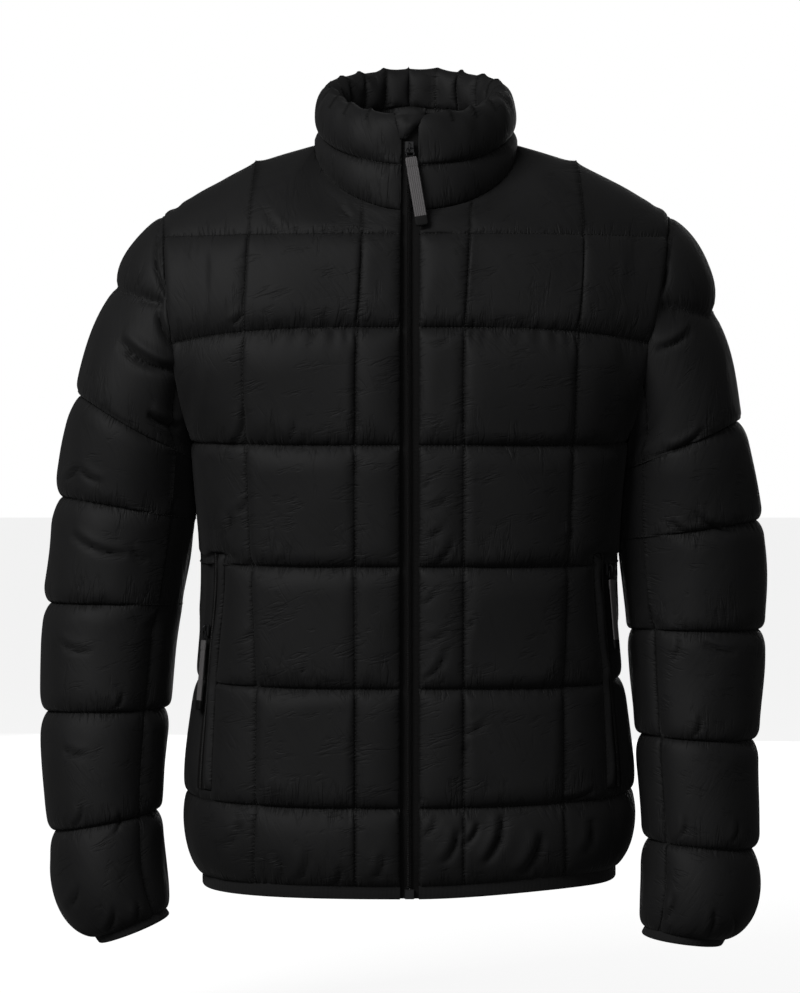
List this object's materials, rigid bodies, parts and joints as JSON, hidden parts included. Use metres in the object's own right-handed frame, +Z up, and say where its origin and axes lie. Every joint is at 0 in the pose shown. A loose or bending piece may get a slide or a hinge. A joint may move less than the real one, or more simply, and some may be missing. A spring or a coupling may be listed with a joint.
{
  "type": "puffer jacket",
  "caption": "Quilted puffer jacket, zipped shut and filled out, with a stand-up collar, zipped side pockets and bound hem and cuffs.",
  "frame": {"origin": "midway between the neck ends of the shoulder seams, just under the cloth, where the jacket rests on its wearer's shoulders", "axes": "+Z up, front faces -Y, +X is the wearer's left"},
  "size_m": [0.6857, 0.2838, 0.8349],
  "materials": {
    "shell": "black nylon taffeta with a low soft sheen",
    "binding": "matt black elastic binding",
    "tape": "matt black woven zip tape",
    "coil": "satin black nylon coil",
    "slider": "black lacquered zinc",
    "webbing": "grey woven webbing",
    "tip": "matt black moulded end"
  },
  "bodies": {
    "jacket": {"back": "shell", "collar": "shell", "collar_facing": "shell", "cuff_binding_left": "binding", "cuff_binding_right": "binding", "front_left": "shell", "front_right": "shell", "hem_binding": "binding", "pocket_coil_left": "coil", "pocket_coil_right": "coil", "pocket_slider_left": "slider", "pocket_slider_right": "slider", "pocket_tape_left": "tape", "pocket_tape_right": "tape", "pocket_welt_left": "shell", "pocket_welt_right": "shell", "sleeve_left_under": "shell", "sleeve_left_upper": "shell", "sleeve_right_under": "shell", "sleeve_right_upper": "shell", "zip_box": "slider", "zip_coil": "coil", "zip_garage": "shell", "zip_slider": "slider", "zip_tape_left": "tape", "zip_tape_right": "tape"},
    "zip_pull_body": {"zip_loop": "slider", "zip_pull": "webbing", "zip_pull_tip": "tip"},
    "pocket_pull_left_body": {"pocket_loop_left": "slider", "pocket_pull_left": "webbing", "pocket_pull_tip_left": "tip"},
    "pocket_pull_right_body": {"pocket_loop_right": "slider", "pocket_pull_right": "webbing", "pocket_pull_tip_right": "tip"}
  },
  "joints": [
    {"name": "zip_pull_swing", "type": "hinge", "parent": "jacket", "child": "zip_pull_body", "pos_m": [0, -0.10728, -0.0032], "axis": [-0.9869, 0, -0.1616], "range_deg": [0, 135]},
    {"name": "pocket_pull_left_swing", "type": "hinge", "parent": "jacket", "child": "pocket_pull_left_body", "pos_m": [0.18729, -0.05946, -0.39082], "axis": [-0.3869, -0.9221, 0], "range_deg": [0, 150]},
    {"name": "pocket_pull_right_swing", "type": "hinge", "parent": "jacket", "child": "pocket_pull_right_body", "pos_m": [-0.19084, -0.05631, -0.44757], "axis": [-0.3843, 0.9232, 0], "range_deg": [0, 150]}
  ]
}
